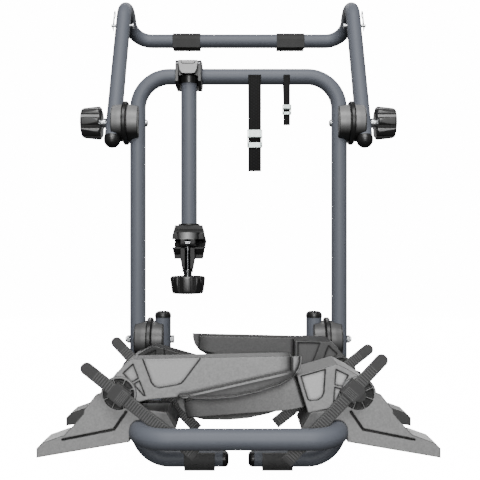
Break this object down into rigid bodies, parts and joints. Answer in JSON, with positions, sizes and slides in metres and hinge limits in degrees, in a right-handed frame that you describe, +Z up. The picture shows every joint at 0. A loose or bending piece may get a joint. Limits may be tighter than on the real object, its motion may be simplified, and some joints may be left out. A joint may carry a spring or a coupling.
{
  "type": "trunk mounted bike rack",
  "caption": "Tube frame that hangs on a car's tailgate, with hooked upper frame, fold-down platform, folding wheel trays, ladder straps and a swinging frame clamp.",
  "frame": {"origin": "mid-plane of the rack on the axis of the bottom tube, between the two bumper pads", "axes": "+Z up along the posts of the main frame, +Y towards the car, +X across the rack to the right as seen from behind the car"},
  "size_m": [0.5944, 0.6496, 0.9424],
  "materials": {
    "frame_paint": "satin slate grey powder coat",
    "black_plastic": "fine grained black moulding",
    "dark_plastic": "satin black moulding",
    "grey_plastic": "fine grained charcoal moulding",
    "lever_plastic": "light grey moulding",
    "pad_rubber": "dull",
    "zinc_steel": "bright zinc plate",
    "bright_chrome": "bright",
    "strap_plastic": "ribbed flexible black plastic",
    "webbing": "woven black webbing"
  },
  "bodies": {
    "frame": {"main_frame": "frame_paint", "bottom_end_caps": "black_plastic", "bumper_pads": "pad_rubber", "post_hinge_discs": "dark_plastic", "upper_hinge_rings": "pad_rubber", "upper_hinge_bolts": "zinc_steel", "lower_post_discs": "dark_plastic", "lower_hinge_rings": "pad_rubber", "platform_bolts": "zinc_steel", "platform_nuts": "zinc_steel"},
    "upper": {"upper_frame": "frame_paint", "arm_end_caps": "black_plastic", "upper_pads": "pad_rubber", "strap_pins": "zinc_steel", "strap_pin_clips": "zinc_steel", "arm_hinge_discs": "dark_plastic", "hinge_spacers": "zinc_steel"},
    "knob_left": {"hinge_knob_left": "black_plastic"},
    "knob_right": {"hinge_knob_right": "black_plastic"},
    "platform": {"platform_discs": "dark_plastic", "platform_frame": "frame_paint", "platform_end_caps": "black_plastic", "foot_near_left": "grey_plastic", "foot_near_right": "grey_plastic", "foot_far_left": "grey_plastic", "foot_far_right": "grey_plastic", "tray_axles": "zinc_steel"},
    "bike_arm": {"bike_arm_head": "black_plastic", "lever_pin": "zinc_steel", "bike_arm_tube": "frame_paint", "arm_tube_collar": "pad_rubber", "upper_jaw": "dark_plastic", "upper_jaw_liner": "pad_rubber", "jaw_pins": "zinc_steel", "jaw_keeper_loop": "pad_rubber"},
    "arm_lever": {"arm_head_lever": "lever_plastic"},
    "lower_jaw": {"lower_jaw": "dark_plastic", "lower_jaw_liner": "pad_rubber"},
    "swing_bolt": {"swing_bolt": "bright_chrome"},
    "clamp_nut": {"clamp_nut": "bright_chrome"},
    "clamp_knob": {"clamp_knob": "black_plastic"},
    "wide_strap": {"wide_strap": "webbing", "wide_buckle": "zinc_steel"},
    "wide_lever": {"wide_buckle_lever": "zinc_steel"},
    "narrow_strap": {"narrow_strap": "webbing", "narrow_buckle": "zinc_steel"},
    "narrow_lever": {"narrow_buckle_lever": "zinc_steel"},
    "tray_near_left": {"tray_near_left": "grey_plastic"},
    "keeper_near_left": {"keeper_near_left": "dark_plastic"},
    "strap_near_left": {"strap_near_left": "strap_plastic"},
    "tray_near_right": {"tray_near_right": "grey_plastic"},
    "keeper_near_right": {"keeper_near_right": "dark_plastic"},
    "strap_near_right": {"strap_near_right": "strap_plastic"},
    "tray_far_left": {"tray_far_left": "grey_plastic"},
    "keeper_far_left": {"keeper_far_left": "dark_plastic"},
    "strap_far_left": {"strap_far_left": "strap_plastic"},
    "tray_far_right": {"tray_far_right": "grey_plastic"},
    "keeper_far_right": {"keeper_far_right": "dark_plastic"},
    "strap_far_right": {"strap_far_right": "strap_plastic"}
  },
  "joints": [
    {"name": "upper_frame_tilt", "type": "hinge", "parent": "frame", "child": "upper", "pos_m": [0, 0, 0.6405], "axis": [1, 0, 0], "range_deg": [-60, 30]},
    {"name": "hinge_knob_left_turn", "type": "hinge", "parent": "frame", "child": "knob_left", "pos_m": [-0.28, 0, 0.6405], "axis": [-1, 0, 0], "continuous": true},
    {"name": "hinge_knob_right_turn", "type": "hinge", "parent": "frame", "child": "knob_right", "pos_m": [0.28, 0, 0.6405], "axis": [1, 0, 0], "continuous": true},
    {"name": "platform_fold", "type": "hinge", "parent": "frame", "child": "platform", "pos_m": [0, 0, 0.2285], "axis": [-1, 0, 0], "range_deg": [-20, 42]},
    {"name": "tray_near_left_fold", "type": "hinge", "parent": "platform", "child": "tray_near_left", "pos_m": [-0.175, -0.288, 0.1925], "axis": [0, -1, 0], "range_deg": [0, 180]},
    {"name": "keeper_near_left_swivel", "type": "hinge", "parent": "platform", "child": "keeper_near_left", "pos_m": [-0.175, -0.3415, 0.1925], "axis": [0, -1, 0], "range_deg": [0, 20]},
    {"name": "strap_near_left_slide", "type": "slide", "parent": "keeper_near_left", "child": "strap_near_left", "axis": [-0.7826, 0, 0.6225], "range_m": [-0.02, 0.04]},
    {"name": "tray_near_right_fold", "type": "hinge", "parent": "platform", "child": "tray_near_right", "pos_m": [0.175, -0.288, 0.1925], "axis": [0, 1, 0], "range_deg": [0, 197]},
    {"name": "keeper_near_right_swivel", "type": "hinge", "parent": "platform", "child": "keeper_near_right", "pos_m": [0.175, -0.3415, 0.1925], "axis": [0, 1, 0], "range_deg": [0, 20]},
    {"name": "strap_near_right_slide", "type": "slide", "parent": "keeper_near_right", "child": "strap_near_right", "axis": [0.682, 0, 0.7314], "range_m": [-0.02, 0.04]},
    {"name": "tray_far_left_fold", "type": "hinge", "parent": "platform", "child": "tray_far_left", "pos_m": [-0.175, -0.103, 0.1925], "axis": [0, -1, 0], "range_deg": [0, 197]},
    {"name": "keeper_far_left_swivel", "type": "hinge", "parent": "platform", "child": "keeper_far_left", "pos_m": [-0.175, -0.1565, 0.1925], "axis": [0, -1, 0], "range_deg": [0, 20]},
    {"name": "strap_far_left_slide", "type": "slide", "parent": "keeper_far_left", "child": "strap_far_left", "axis": [-0.682, 0, 0.7314], "range_m": [-0.02, 0.04]},
    {"name": "tray_far_right_fold", "type": "hinge", "parent": "platform", "child": "tray_far_right", "pos_m": [0.175, -0.103, 0.1925], "axis": [0, 1, 0], "range_deg": [0, 180]},
    {"name": "keeper_far_right_swivel", "type": "hinge", "parent": "platform", "child": "keeper_far_right", "pos_m": [0.175, -0.1565, 0.1925], "axis": [0, 1, 0], "range_deg": [0, 20]},
    {"name": "strap_far_right_slide", "type": "slide", "parent": "keeper_far_right", "child": "strap_far_right", "axis": [0.7826, 0, 0.6225], "range_m": [-0.02, 0.04]},
    {"name": "bike_arm_swing", "type": "hinge", "parent": "frame", "child": "bike_arm", "pos_m": [-0.092, 0, 0.729], "axis": [-1, 0, 0], "range_deg": [0, 150]},
    {"name": "arm_lever_flip", "type": "hinge", "parent": "bike_arm", "child": "arm_lever", "pos_m": [-0.092, -0.058, 0.741], "axis": [-1, 0, 0], "range_deg": [0, 70]},
    {"name": "swing_bolt_swing", "type": "hinge", "parent": "bike_arm", "child": "swing_bolt", "pos_m": [-0.092, -0.07, 0.4114], "axis": [-1, 0, 0], "range_deg": [0, 75]},
    {"name": "clamp_nut_travel", "type": "slide", "parent": "swing_bolt", "child": "clamp_nut", "axis": [0, 0, -1], "range_m": [0, 0.012]},
    {"name": "clamp_knob_turn", "type": "hinge", "parent": "clamp_nut", "child": "clamp_knob", "pos_m": [-0.092, -0.07, 0.34], "axis": [0, 0, 1], "continuous": true},
    {"name": "lower_jaw_open", "type": "hinge", "parent": "bike_arm", "child": "lower_jaw", "pos_m": [-0.092, -0.003, 0.4144], "axis": [1, 0, 0], "range_deg": [0, 8.6]},
    {"name": "wide_strap_slide", "type": "slide", "parent": "frame", "child": "wide_strap", "axis": [1, 0, 0], "range_m": [-0.04, 0.015]},
    {"name": "narrow_strap_slide", "type": "slide", "parent": "frame", "child": "narrow_strap", "axis": [1, 0, 0], "range_m": [-0.012, 0.02]},
    {"name": "wide_buckle_lever_flip", "type": "hinge", "parent": "wide_strap", "child": "wide_lever", "pos_m": [0.0305, -0.02035, 0.61114], "axis": [1, 0, 0], "range_deg": [0, 80]},
    {"name": "narrow_buckle_lever_flip", "type": "hinge", "parent": "narrow_strap", "child": "narrow_lever", "pos_m": [0.091, -0.02035, 0.66444], "axis": [1, 0, 0], "range_deg": [0, 80]}
  ],
  "couplings": [
    {"joint": "lower_jaw_open", "follows": "clamp_nut_travel", "rad_per_m": 12.5}
  ]
}
